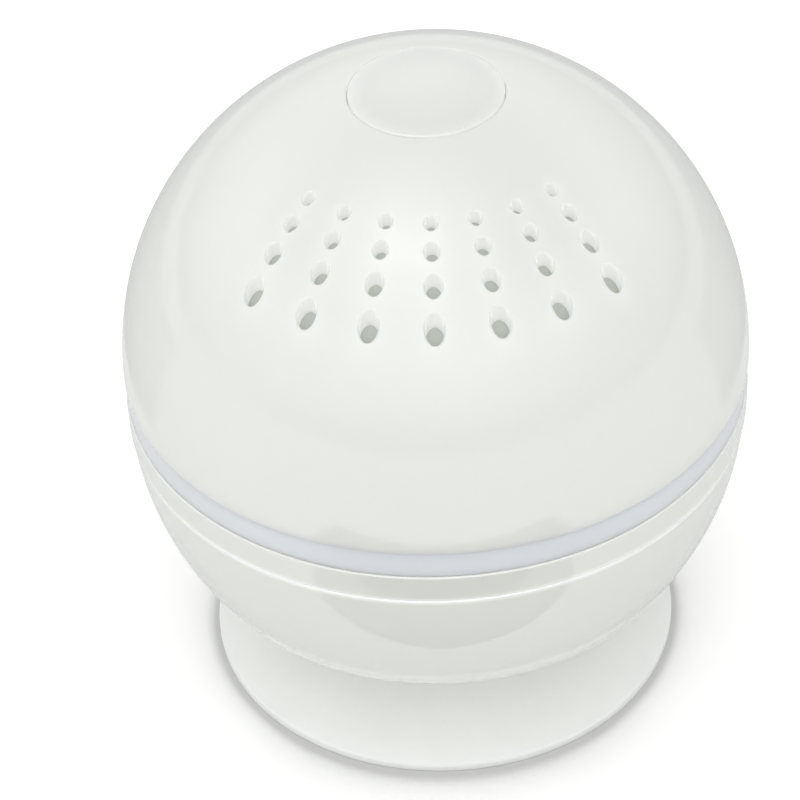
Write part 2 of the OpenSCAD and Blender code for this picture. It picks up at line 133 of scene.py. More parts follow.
def empty_material(name):
    """A material with nothing but its output, its node tree, and the output's surface socket."""
    paint = bpy.data.materials.new(name)
    paint.use_nodes = True
    paint.node_tree.nodes.clear()
    out = paint.node_tree.nodes.new("ShaderNodeOutputMaterial")
    return paint, paint.node_tree, out.inputs["Surface"]


def math_node(tree, operation, a, b=0.0):
    node = tree.nodes.new("ShaderNodeMath")
    node.operation = operation
    for socket, value in zip(node.inputs, (a, b)):
        if isinstance(value, bpy.types.NodeSocket):
            tree.links.new(value, socket)
        else:
            socket.default_value = value
    return node.outputs["Value"]


def mix_shaders(tree, share, first, second):
    mix = tree.nodes.new("ShaderNodeMixShader")
    for socket, value in zip(mix.inputs, (share, first, second)):
        tree.links.new(value, socket)
    return mix.outputs["Shader"]


def make_camera():
    """The camera at the photograph's angle, from above and in front, with its slight roll.
    Its place, aim, roll and lens come from a fit to outlines in the photograph."""
    eye = Vector((0, -302.569, 290.291)) * MM
    aim = Vector((-4.865, 0, 37.402)) * MM
    roll = math.radians(-2.7056)
    data = bpy.data.cameras.new("camera")
    data.lens = 136.296
    data.sensor_width = 36
    data.clip_start = 0.01
    camera = link_object("camera", data)
    turn = (aim - eye).to_track_quat("-Z", "Y").to_matrix()
    camera.matrix_world = Matrix.Translation(eye) @ (turn @ Matrix.Rotation(roll, 3, "Z")).to_4x4()
    bpy.context.scene.camera = camera


def soft_edge(tree, centre, reach):
    """A share that is 1 at a card's centre and falls to 0 at its reach."""
    place = tree.nodes.new("ShaderNodeMapping")
    place.vector_type = "TEXTURE"
    place.inputs["Location"].default_value = centre
    place.inputs["Scale"].default_value = (reach,) * 3
    tree.links.new(tree.nodes.new("ShaderNodeTexCoord").outputs["Object"], place.inputs["Vector"])
    fade = tree.nodes.new("ShaderNodeTexGradient")
    fade.gradient_type = "QUADRATIC_SPHERE"
    tree.links.new(place.outputs["Vector"], fade.inputs["Vector"])
    return fade.outputs["Fac"]


def reflected_card(name, corners, grey, soft=None):
    """A card that only reflections see, as a studio puts beside glossy things to draw their shape.
    A soft card, given its centre and reach, fades out towards its rim."""
    mesh = bpy.data.meshes.new(name)
    mesh.from_pydata([tuple(c * MM for c in corner) for corner in corners], [], [range(len(corners))])
    card = link_object(name, mesh)
    paint, tree, surface = empty_material(name)
    glow = tree.nodes.new("ShaderNodeEmission")
    glow.inputs["Color"].default_value = (grey, grey, grey, 1)
    shader = glow.outputs["Emission"]
    if soft:
        x, y, z, reach = soft
        clear = tree.nodes.new("ShaderNodeBsdfTransparent")
        share = soft_edge(tree, (x * MM, y * MM, z * MM), reach * MM)
        shader = mix_shaders(tree, share, clear.outputs["BSDF"], shader)
    tree.links.new(shader, surface)
    mesh.materials.append(paint)
    card.visible_camera = card.visible_diffuse = card.visible_shadow = card.visible_transmission = False


def make_cards():
    for name, (outline, grey) in (("near_card", NEAR_CARD), ("lens_card", LENS_CARD)):
        reflected_card(name, [(x, y, CARD_Z) for x, y in outline], grey)
    inner, outer, (start, end, step), grey = BACK_CARD
    sweep = [math.radians(a) for a in range(start, end + 1, step)]
    ring = [(outer * math.cos(a), outer * math.sin(a), CARD_Z) for a in sweep]
    ring += [(inner * math.cos(a), inner * math.sin(a), CARD_Z) for a in reversed(sweep)]
    reflected_card("back_card", ring, grey)
    x, y, z, reach = KEY_CARD
    corners = [(x + reach * i, y + reach * j, z) for i, j in ((-1, -1), (1, -1), (1, 1), (-1, 1))]
    reflected_card("key_card", corners, KEY_GREY, KEY_CARD)


def light_tent(tree):
    """A white tent round the object: each wall has its own brightness, blended smoothly into the next."""
    parts = tree.nodes.new("ShaderNodeSeparateXYZ")
    tree.links.new(tree.nodes.new("ShaderNodeTexCoord").outputs["Generated"], parts.inputs["Vector"])
    x, y, z = (parts.outputs[axis] for axis in "XYZ")
    level = math_node(tree, "ADD", math_node(tree, "MULTIPLY", x, x), math_node(tree, "MULTIPLY", y, y))
    level = math_node(tree, "MAXIMUM", level, 1e-6)
    brightest = max(TENT_TOP, *(v for wall in TENT.values() for v in wall))
    total = None
    for wall, (axis, sign) in {"front": (y, -1), "back": (y, 1), "left": (x, -1), "right": (x, 1)}.items():
        facing = math_node(tree, "MAXIMUM", math_node(tree, "MULTIPLY", axis, sign), 0.0)
        share = math_node(tree, "DIVIDE", math_node(tree, "MULTIPLY", facing, facing), level)
        ramp = tree.nodes.new("ShaderNodeValToRGB")
        tree.links.new(z, ramp.inputs["Fac"])
        stops = ramp.color_ramp.elements
        values = (*TENT[wall], TENT_TOP)
        for k, value in enumerate(values):
            at = k / (len(values) - 1)
            stop = stops[0] if k == 0 else stops[-1] if k == len(values) - 1 else stops.new(at)
            stop.position = at
            stop.color = (*[value / brightest] * 3, 1)
        lit = math_node(tree, "MULTIPLY", ramp.outputs["Color"], share)
        total = lit if total is None else math_node(tree, "ADD", total, lit)
    background = tree.nodes["Background"]
    tree.links.new(total, background.inputs["Color"])
    background.inputs["Strength"].default_value = brightest


def contact_shadow(tree):
    """How bright the camera sees the floor: darker close to the cup, and most of all in front of it."""
    near = tree.nodes.new("ShaderNodeAmbientOcclusion")
    near.inputs["Distance"].default_value = SHADOW_REACH * MM
    place = tree.nodes.new("ShaderNodeSeparateXYZ")
    tree.links.new(tree.nodes.new("ShaderNodeTexCoord").outputs["Object"], place.inputs["Vector"])
    (start, low), (end, high) = SHADOW_POWER
    power = tree.nodes.new("ShaderNodeMapRange")
    tree.links.new(place.outputs["Y"], power.inputs["Value"])
    for name, value in (("From Min", start * MM), ("From Max", end * MM), ("To Min", low), ("To Max", high)):
        power.inputs[name].default_value = value
    light = math_node(tree, "POWER", near.outputs["AO"], power.outputs["Result"])
    return math_node(tree, "MULTIPLY", math_node(tree, "MAXIMUM", light, SHADOW_LEAST), FLOOR_SEEN)


def make_floor():
    """A white floor, which the camera sees brighter than light does, as on a lit white sweep."""
    half = FLOOR_HALF
    mesh = bpy.data.meshes.new("floor")
    mesh.from_pydata([(-half, -half, 0), (half, -half, 0), (half, half, 0), (-half, half, 0)], [],
                     [(0, 1, 2, 3)])
    floor = link_object("floor", mesh)
    paint, tree, surface = empty_material("floor_white")
    seen = tree.nodes.new("ShaderNodeBsdfDiffuse")
    tree.links.new(contact_shadow(tree), seen.inputs["Color"])
    real = tree.nodes.new("ShaderNodeBsdfDiffuse")
    real.inputs["Color"].default_value = (FLOOR_WHITE, FLOOR_WHITE, FLOOR_WHITE, 1)
    path = tree.nodes.new("ShaderNodeLightPath")
    tree.links.new(mix_shaders(tree, path.outputs["Is Camera Ray"], real.outputs["BSDF"],
                               seen.outputs["BSDF"]), surface)
    mesh.materials.append(paint)


def make_studio():
    world = bpy.data.worlds.new("studio")
    bpy.context.scene.world = world
    world.use_nodes = True
    light_tent(world.node_tree)
    make_floor()
    make_cards()
    settings = bpy.context.scene.view_settings
    settings.view_transform = "Standard"
    settings.look = "None"


# ---- Materials ----


class Tree:
    """A Principled material's node tree, with short names for the nodes that every finish here uses."""

    def __init__(self, name):
        self.material = bpy.data.materials.new(name)
        self.material.use_nodes = True
        self.tree = self.material.node_tree
        self.bsdf = self.tree.nodes["Principled BSDF"]
        self.place = self.tree.nodes.new("ShaderNodeTexCoord").outputs["Object"]

    def node(self, kind, inputs=(), **settings):
        made = self.tree.nodes.new("ShaderNode" + kind)
        for key, value in settings.items():
            setattr(made, key, value)
        for key, value in dict(inputs).items():
            socket = made.inputs[key]
            if isinstance(value, bpy.types.NodeSocket):
                self.tree.links.new(value, socket)
            else:
                socket.default_value = value
        return made

    def set(self, **inputs):
        for key, value in inputs.items():
            self.bsdf.inputs[key.replace("_", " ")].default_value = value

    def link(self, socket, name):
        self.tree.links.new(socket, self.bsdf.inputs[name])

    def scaled(self, scale):
        return self.node("Mapping", {"Vector": self.place, "Scale": scale}).outputs["Vector"]

    def noise(self, per_metre, detail=3.0, roughness=0.5, stretch=None):
        vector = self.scaled(stretch) if stretch else self.place
        inputs = {"Vector": vector, "Scale": per_metre, "Detail": detail, "Roughness": roughness}
        return self.node("TexNoise", inputs).outputs["Fac"]

    def math(self, operation, a, b=0.0):
        return self.node("Math", {0: a, 1: b}, operation=operation).outputs["Value"]

    def span(self, value, low, high, start=0.3, end=0.7):
        inputs = {"Value": value, "From Min": start, "From Max": end, "To Min": low, "To Max": high}
        return self.node("MapRange", inputs).outputs["Result"]

    def colours(self, value, low, high, start=0.35, end=0.65):
        ramp = self.node("ValToRGB", {"Fac": value})
        ramp.color_ramp.elements[0].position, ramp.color_ramp.elements[1].position = start, end
        ramp.color_ramp.elements[0].color = (*low, 1)
        ramp.color_ramp.elements[1].color = (*high, 1)
        return ramp.outputs["Color"]

    def bump(self, height, depth_mm, strength=1.0):
        made = self.node("Bump", {"Height": height, "Distance": depth_mm * MM, "Strength": strength})
        self.link(made.outputs["Normal"], "Normal")


def shade(colour, factor):
    return tuple(min(1.0, c * factor) for c in colour)


def finish(name, colour, rough, *, mottle=0.02, mottle_scale=60, smudge=0.04, smudge_scale=90,
           grain=0.004, grain_scale=2500, stretch=None, **sockets):
    """A moulded or machined finish: a slight drift in colour, smudges in gloss and a fine surface grain."""
    t = Tree(name)
    t.link(t.colours(t.noise(mottle_scale), shade(colour, 1 - mottle), shade(colour, 1 + mottle)),
           "Base Color")
    t.link(t.span(t.noise(smudge_scale, 4, 0.6), rough - smudge, rough + smudge), "Roughness")
    t.bump(t.noise(grain_scale, 3, 0.6, stretch), grain)
    t.set(**sockets)
    return t.material


# The tint of the painted glow that a wall gives off, the colour of a painted highlight along an edge, and
# how far from the edge's middle in mm that colour starts and stops fading
PAINTED_GLOW_TINT = (0.98, 1.0, 0.96, 1)
PAINTED_HIGHLIGHT = (0.97, 0.985, 0.955)
PAINTED_HIGHLIGHT_REACH = (0.2, 0.75)


def gloss_plastic(name, colour, lit=0.0, pale_edge=None, **sockets):
    """Injection-moulded white plastic: a trace of orange peel, faint flow marks, light that soaks in.
    lit is how strongly the surface gives off a painted glow, in place of light through a thin wall.
    pale_edge is the height in mm of an edge that carries a painted highlight: a paler band in place of a wide
    highlight."""
    t = Tree(name)
    flow = t.noise(35, 2, 0.5, (1, 1, 0.35))
    # A painted highlight: the colour turns paler in a band round the edge's height
    if pale_edge:
        height = t.node("SeparateXYZ", {"Vector": t.place}).outputs["Z"]
        off = t.math("ABSOLUTE", t.math("SUBTRACT", height, pale_edge * MM))
        edge = t.span(off, 1.0, 0.0, *(reach * MM for reach in PAINTED_HIGHLIGHT_REACH))
        painted_highlight_share = t.math("ADD", edge, t.math("MULTIPLY", flow, 0.05))
        t.link(t.colours(painted_highlight_share, shade(colour, 0.99), PAINTED_HIGHLIGHT, 0.0, 1.0), "Base Color")
    else:
        t.link(t.colours(flow, shade(colour, 0.992), shade(colour, 1.006)), "Base Color")
    t.link(t.span(t.noise(110, 4, 0.6), 0.10, 0.15), "Roughness")
    peel = t.noise(900, 1, 0.4)
    t.bump(peel, 0.0012)
    t.set(IOR=1.5, Subsurface_Weight=1.0, Subsurface_Radius=(1.0, 1.0, 0.9),
          Subsurface_Scale=2.2 * MM, Coat_Weight=0.8, Coat_Roughness=0.03)
    # A painted glow: light given off by the surface itself, in place of light through a thin wall
    if lit:
        t.set(Emission_Color=PAINTED_GLOW_TINT, Emission_Strength=lit)
    t.set(**sockets)
    return t.material


def silicone(name, colour, rough):
    """Soft moulded silicone: satin, milky, with a fine matt bloom."""
    t = Tree(name)
    bloom = t.noise(140, 4, 0.65)
    t.link(t.colours(bloom, shade(colour, 0.985), shade(colour, 1.01)), "Base Color")
    t.link(t.span(bloom, rough - 0.05, rough + 0.06), "Roughness")
    t.bump(t.noise(3200, 2, 0.6), 0.003)
    t.set(IOR=1.43, Subsurface_Weight=0.8, Subsurface_Radius=(1.0, 1.0, 0.95), Subsurface_Scale=3 * MM,
          Sheen_Weight=0.05, Sheen_Roughness=0.4)
    return t.material


def frosted_ring(name, colour):
    """The light ring's frosted, faintly blue diffuser."""
    t = Tree(name)
    frost = t.noise(700, 5, 0.7)
    t.link(t.colours(t.noise(50, 2), shade(colour, 0.985), shade(colour, 1.01)), "Base Color")
    t.link(t.span(frost, 0.28, 0.4), "Roughness")
    t.bump(frost, 0.002)
    t.set(IOR=1.49, Subsurface_Weight=0.6, Subsurface_Radius=(0.9, 0.95, 1.0), Subsurface_Scale=3 * MM)
    return t.material


def woven(name, dark, light, threads_per_mm, depth_mm, rough):
    """A plain weave: over-and-under threads from two crossed waves."""
    t = Tree(name)
    scale = threads_per_mm / MM
    parts = t.node("SeparateXYZ", {"Vector": t.place})
    wobble = t.noise(400, 2)
    waves = []
    for axis in "XY":
        bent = t.math("ADD", t.math("MULTIPLY", parts.outputs[axis], scale * math.pi), wobble)
        waves.append(t.math("SINE", bent))
    thread = t.math("ABSOLUTE", t.math("MULTIPLY", waves[0], waves[1]))
    fuzz = t.math("ADD", thread, t.math("MULTIPLY", t.noise(6000, 4, 0.7), 0.3))
    t.link(t.colours(fuzz, dark, light, 0.1, 0.8), "Base Color")
    t.set(Roughness=rough, Sheen_Weight=0.2)
    t.bump(fuzz, depth_mm)
    return t.material


def circuit_board(name, mask, trace, pad):
    """Solder mask with raised traces in blocks, and tinned pads scattered between them."""
    t = Tree(name)
    blocks = t.node("TexVoronoi", {"Vector": t.place, "Scale": 260.0}, distance="CHEBYCHEV", feature="F1")
    rings = t.math("SINE", t.math("MULTIPLY", blocks.outputs["Distance"], 45.0))
    track = t.span(rings, 0, 1, 0.55, 0.75)
    pads = t.node("TexVoronoi", {"Vector": t.place, "Scale": 700.0, "Randomness": 0.4})
    dot = t.span(pads.outputs["Distance"], 1, 0, 0.14, 0.18)
    rare = t.span(t.noise(120, 2), 0, 1, 0.52, 0.6)
    dot = t.math("MULTIPLY", dot, rare)
    masked = t.colours(track, mask, trace, 0, 1)
    mix = t.node("MixRGB", {"Fac": dot, "Color1": masked, "Color2": (*pad, 1)})
    t.link(mix.outputs["Color"], "Base Color")
    t.link(dot, "Metallic")
    t.link(t.span(t.noise(500, 4), 0.3, 0.45), "Roughness")
    t.bump(t.math("ADD", track, dot), 0.03)
    t.set(Coat_Weight=0.3, Coat_Roughness=0.15)
    return t.material


def brushed_metal(name, colour, rough, stretch=(1, 1, 30)):
    """Plated or machined metal: fine directional scratches and a drift in tarnish."""
    t = Tree(name)
    t.link(t.colours(t.noise(200, 4, 0.6), shade(colour, 0.85), shade(colour, 1.05)), "Base Color")
    lines = t.noise(900, 4, 0.7, stretch)
    t.link(t.span(lines, rough - 0.08, rough + 0.1), "Roughness")
    t.bump(lines, 0.004)
    t.set(Metallic=1.0)
    return t.material


def paper_cone(name, colour):
    """Pressed pulp: short fibres over a soft mottle."""
    t = Tree(name)
    fibres = t.math("ADD", t.noise(2200, 5, 0.75, (1, 0.25, 1)), t.noise(2200, 5, 0.75, (0.25, 1, 1)))
    t.link(t.colours(fibres, shade(colour, 0.7), shade(colour, 1.5), 0.35, 0.75), "Base Color")
    t.bump(fibres, 0.03)
    t.set(Roughness=0.85)
    return t.material


def foil_wrap(name, colour):
    """A laminated foil pouch: creases, and a satin metal face."""
    t = Tree(name)
    folds = t.node("TexVoronoi", {"Vector": t.place, "Scale": 240.0}, feature="DISTANCE_TO_EDGE")
    crease = t.span(folds.outputs["Distance"], 0, 1, 0.0, 0.12)
    t.link(t.colours(t.noise(180, 4), shade(colour, 0.93), shade(colour, 1.04)), "Base Color")
    t.link(t.span(crease, 0.38, 0.26, 0, 1), "Roughness")
    t.bump(t.math("ADD", crease, t.noise(160, 3)), 0.12)
    t.set(Metallic=0.85)
    return t.material


def coil_wire(name, colour):
    """Enamelled wire wound in even turns up the former."""
    t = Tree(name)
    turns = t.node("TexWave", {"Vector": t.place, "Scale": 1100.0, "Distortion": 0.15},
                   wave_type="BANDS", bands_direction="Z")
    t.link(t.colours(turns.outputs["Fac"], shade(colour, 0.35), shade(colour, 1.1), 0.05, 0.6), "Base Color")
    t.bump(turns.outputs["Fac"], 0.05)
    t.set(Metallic=0.9, Roughness=0.3, Coat_Weight=0.4)
    return t.material


def foam_pad(name, colour):
    """Open foam: pores of two sizes."""
    t = Tree(name)
    pores = t.node("TexVoronoi", {"Vector": t.place, "Scale": 1500.0}).outputs["Distance"]
    rough = t.math("ADD", pores, t.noise(3500, 3))
    t.link(t.colours(rough, shade(colour, 0.4), shade(colour, 1.2), 0.4, 1.0), "Base Color")
    t.bump(rough, 0.12)
    t.set(Roughness=0.95)
    return t.material


WHITE = (0.80, 0.822, 0.775)
BOWL_WHITE = (0.765, 0.785, 0.74)
# The height in mm of the bowl's parting edge, the middle of its painted highlight
PARTING_Z = 39.0
MATERIALS = {
    "cup_silicone": silicone("cup_silicone", (0.86, 0.875, 0.845), 0.38),
    "white_gloss": gloss_plastic("white_gloss", WHITE),
    "button_gloss": gloss_plastic("button_gloss", WHITE),
    "bowl_gloss": gloss_plastic("bowl_gloss", BOWL_WHITE, pale_edge=PARTING_Z, IOR=1.6,
                                Coat_Weight=1.0, Coat_IOR=1.7, Subsurface_Scale=0.9 * MM),
    # The walls of the holes: a dark base with a painted glow, in place of light through the thin plastic
    "glow_painted_wall": gloss_plastic("glow_painted_wall", (0.34, 0.35, 0.33), lit=0.53),
    "diffuser": frosted_ring("diffuser", (0.72, 0.75, 0.785)),
    "inner_plastic": finish("inner_plastic", (0.52, 0.53, 0.52), 0.5, grain=0.01, grain_scale=1800),
    "black_plastic": finish("black_plastic", (0.022, 0.023, 0.025), 0.45, mottle=0.15, grain=0.012),
    "cream_plastic": finish("cream_plastic", (0.72, 0.66, 0.50), 0.4, grain=0.006),
    "white_silicone": silicone("white_silicone", (0.80, 0.815, 0.785), 0.45),
    "gasket_rubber": finish("gasket_rubber", (0.03, 0.03, 0.032), 0.7, mottle=0.2, grain=0.015),
    "surround_rubber": finish("surround_rubber", (0.02, 0.021, 0.022), 0.55, mottle=0.2, grain=0.006),
    "screw_steel": brushed_metal("screw_steel", (0.60, 0.61, 0.62), 0.3),
    "plated_steel": brushed_metal("plated_steel", (0.66, 0.65, 0.60), 0.32, (30, 1, 1)),
    "magnet_black": finish("magnet_black", (0.045, 0.045, 0.05), 0.42, mottle=0.25, mottle_scale=300,
                           grain=0.02, grain_scale=1200, Metallic=0.4),
    "shield_can": brushed_metal("shield_can", (0.72, 0.73, 0.74), 0.26, (1, 30, 1)),
    "copper": coil_wire("copper", (0.80, 0.40, 0.20)),
    "board_green": circuit_board("board_green", (0.012, 0.11, 0.055), (0.03, 0.20, 0.10), (0.8, 0.75, 0.6)),
    "board_brown": circuit_board("board_brown", (0.16, 0.09, 0.03), (0.25, 0.15, 0.05), (0.8, 0.6, 0.3)),
    "chip_black": finish("chip_black", (0.025, 0.025, 0.027), 0.55, mottle=0.1, grain=0.008,
                         grain_scale=5000),
    "led_white": finish("led_white", (0.85, 0.83, 0.55), 0.3, mottle=0.05, mottle_scale=900, grain=0.004,
                        Subsurface_Weight=0.3, Subsurface_Scale=0.5 * MM),
    "mesh_fabric": woven("mesh_fabric", (0.44, 0.465, 0.42), (0.54, 0.565, 0.52), 9, 0.006, 0.85),
    "spider_cloth": woven("spider_cloth", (0.42, 0.26, 0.08), (0.72, 0.5, 0.22), 4, 0.05, 0.75),
    "cone_paper": paper_cone("cone_paper", (0.035, 0.034, 0.033)),
    "wire_black": finish("wire_black", (0.02, 0.02, 0.022), 0.4, mottle=0.15, grain=0.006),
    "wire_red": finish("wire_red", (0.45, 0.02, 0.015), 0.4, mottle=0.1, grain=0.006),
    "battery_foil": foil_wrap("battery_foil", (0.66, 0.68, 0.70)),
    "foam": foam_pad("foam", (0.12, 0.12, 0.125)),
}


# ---- Meshes ----


def new_object(name, mesh, slot, body, *replaced):
    """A piece that rides on a body."""
    piece = link_object(name, mesh)
    mesh.materials.clear()
    mesh.materials.append(MATERIALS[slot])
    if body:
        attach(piece, body)
    if replaced:
        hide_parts(*replaced)
    return piece


def arc_profile(corners, step=math.radians(11)):
    """A profile of (r, z, normal) from corners (r, z, fillet), in millimetres, walked with its material on
    the left. A fillet of None keeps the corner sharp, and "smooth" is a point on a curve."""
    points = []
    last = len(corners) - 1
    for i, (r, z, fillet) in enumerate(corners):
        here = Vector((r, z))
        before = (here - Vector(corners[i - 1][:2])).normalized() if i else None
        after = (Vector(corners[i + 1][:2]) - here).normalized() if i < last else None
        if fillet is None or before is None or after is None:
            points.append((r, z, None))
            continue
        outward = [Vector((d.y, -d.x)) for d in (before, after)]
        if fillet == "smooth":
            points.append((r, z, (outward[0] + outward[1]).normalized()))
            continue
        turn = math.atan2(before.cross(after), before.dot(after))
        reach = fillet * math.tan(abs(turn) / 2)
        start = here - before * reach
        side = 1 if turn > 0 else -1
        centre = start - outward[0] * fillet * side
        count = max(2, math.ceil(abs(turn) / step))
        for k in range(count + 1):
            normal = Matrix.Rotation(turn * k / count, 2) @ outward[0]
            spot = centre + normal * fillet * side
            points.append((spot.x, spot.y, normal))
    return points


def mesh_from(name, verts, faces, corner_normals):
    """A mesh with smooth faces and its own corner normals. A zero normal is worked out by Blender."""
    mesh = bpy.data.meshes.new(name)
    mesh.from_pydata(verts, [], faces)
    mesh.polygons.foreach_set("use_smooth", [True] * len(mesh.polygons))
    mesh.normals_split_custom_set(corner_normals)
    mesh.update()
    return mesh


def lathe(name, points, segments=256):
    """Turns a profile of (r, z, normal) about Z. Ends on the axis close to a point, other ends join up."""
    verts, rings = [], []
    for r, z, _ in points:
        if r < 1e-6:
            rings.append([len(verts)] * segments)
            verts.append((0, 0, z * MM))
            continue
        rings.append(list(range(len(verts), len(verts) + segments)))
        for k in range(segments):
            a = TAU * k / segments
            verts.append((r * MM * math.cos(a), r * MM * math.sin(a), z * MM))
    order = list(range(len(points)))
    pairs = list(zip(order[:-1], order[1:]))
    if points[0][0] > 1e-6 and points[-1][0] > 1e-6:
        pairs.append((order[-1], 0))
    faces, normals = [], []
    for i, j in pairs:
        d = Vector((points[j][0] - points[i][0], points[j][1] - points[i][1])).normalized()
        flat = Vector((d.y, -d.x))
        ni, nj = points[i][2] or flat, points[j][2] or flat
        for k in range(segments):
            m = (k + 1) % segments
            corners = [(rings[i][k], ni, k), (rings[i][m], ni, k + 1), (rings[j][m], nj, k + 1),
                       (rings[j][k], nj, k)]
            if rings[i][k] == rings[i][m]:
                corners.pop(1)
            elif rings[j][k] == rings[j][m]:
                corners.pop(2)
            faces.append([c[0] for c in corners])
            for _, n, step in corners:
                a = TAU * step / segments
                normals.append((n.x * math.cos(a), n.x * math.sin(a), n.y))
    return mesh_from(name, verts, faces, normals)


def circle_points(centre, radius, start, end, count):
    """Points along an arc in the (r, z) plane, as smooth corners."""
    return [
        (centre[0] + radius * math.cos(start + (end - start) * k / count),
         centre[1] + radius * math.sin(start + (end - start) * k / count), "smooth")
        for k in range(count + 1)
    ]


def bezier(p, t):
    u = 1 - t
    return [u**3 * p[0][k] + 3 * t * u * u * p[1][k] + 3 * t * t * u * p[2][k] + t**3 * p[3][k]
            for k in (0, 1)]


# ---- The dome: the CAD shell, its outer skin laid anew with soft rims ----


DOME_SEGMENTS = 288
HOLE_SEGMENTS = 48

# The fillets of the button's opening, the sound holes and the seam in mm, and the steps round each of them
BUTTON_RIM = 0.22
HOLE_RIM = 0.26
SEAM_RIM = 0.18
RIM_STEPS = 5

# How many rings lie above the patch of holes and below it, and the first one's distance from the opening
UPPER_RINGS = 12
LOWER_RINGS = 30
COLLAR_WEB = 0.5

# The holes lie between these two angles from the pole, in a patch that is triangulated round them. Its
# free points keep this distance in mm from a hole's wall.
PATCH = (math.radians(27), math.radians(54))
PATCH_ROWS = 24
PATCH_CLEAR = 0.55

# How far in mm a CAD point may lie off the surface it belongs to, and a wall's face off its hole's radius
SAME = 0.004
WALL_NEAR = 0.05


def hole_table():
    """Every sound hole's centre and radius in plan, in millimetres."""
    rows, reach, size = [], FIRST_HOLE_R, FIRST_HOLE_D
    for _ in range(HOLE_ROWS):
        rows.append((reach, size))
        reach, size = reach + HOLE_WEB + (size + size * HOLE_GROWTH) / 2, size * HOLE_GROWTH
    middle = (HOLE_COLUMNS - 1) / 2
    holes = []
    for column in range(HOLE_COLUMNS):
        a = -math.pi / 2 + (column - middle) * COLUMN_PITCH
        holes += [(r * math.cos(a), r * math.sin(a), d / 2) for r, d in rows]
    return holes


def on_dome(x, y, r=GLOBE_R):
    return SEAM_Z + math.sqrt(r**2 - x * x - y * y)


def radial(theta, turn):
    """The direction at an angle from the pole and a turn round it."""
    return (math.sin(theta) * math.cos(turn), math.sin(theta) * math.sin(turn), math.cos(theta))


def rim_rings(cx, cy, radius, fillet, depth, segments, steps=RIM_STEPS):
    """Rings of (point, normal) from the dome's surface, over a rounded rim and down an upright hole."""
    rings = [[] for _ in range(steps + 2)]
    for k in range(segments):
        a = TAU * k / segments
        dx, dy = math.cos(a), math.sin(a)
        x, y = cx + radius * dx, cy + radius * dy
        z = on_dome(x, y)
        slope = -(x * dx + y * dy) / (z - SEAM_Z)
        length = math.hypot(1, slope)
        zc = z + slope * fillet - fillet * length
        top = math.atan2(1, -slope)
        for s in range(steps + 1):
            b = top + (math.pi - top) * s / steps
            out = radius + fillet + fillet * math.cos(b)
            px, py = cx + out * dx, cy + out * dy
            pz = on_dome(px, py) if s == 0 else zc + fillet * math.sin(b)
            normal = (math.cos(b) * dx, math.cos(b) * dy, math.sin(b))
            if s == 0:
                normal = (px / GLOBE_R, py / GLOBE_R, (pz - SEAM_Z) / GLOBE_R)
            rings[s].append(((px, py, pz), normal))
        rings[steps + 1].append(((x, y, depth(x, y)), (-dx, -dy, 0)))
    return rings


class Skin:
    """Collects vertices, faces and the normals of the new skin in one bmesh with the CAD shell's inside."""

    def __init__(self, bm):
        self.bm = bm
        self.normal = {}

    def vert(self, point, normal):
        v = self.bm.verts.new(Vector(point) * MM)
        self.normal[v] = Vector(normal).normalized()
        return v

    def face(self, verts):
        verts = [v for i, v in enumerate(verts) if v is not verts[i - 1]]
        if len(verts) > 2:
            f = self.bm.faces.new(verts)
            f.tag = True

    def strip(self, a, b):
        """Quads between two closed rings of one length, a outside or above b."""
        for k in range(len(a)):
            m = (k + 1) % len(a)
            self.face([a[k], a[m], b[m], b[k]])

    def zip(self, a, b, centre):
        """Triangles between two closed rings of different lengths, matched by angle about centre."""
        def by_angle(ring):
            return sorted(ring, key=lambda v: math.atan2(v.co.y - centre[1], v.co.x - centre[0]))

        def angle(ring, k):
            v = ring[k % len(ring)]
            return math.atan2(v.co.y - centre[1], v.co.x - centre[0]) + TAU * (k // len(ring))

        a, b = by_angle(a), by_angle(b)
        i = j = 0
        while i < len(a) or j < len(b):
            if j >= len(b) or (i < len(a) and angle(a, i + 1) <= angle(b, j + 1)):
                self.face([a[i % len(a)], a[(i + 1) % len(a)], b[j % len(b)]])
                i += 1
            else:
                self.face([a[i % len(a)], b[(j + 1) % len(b)], b[j % len(b)]])
                j += 1


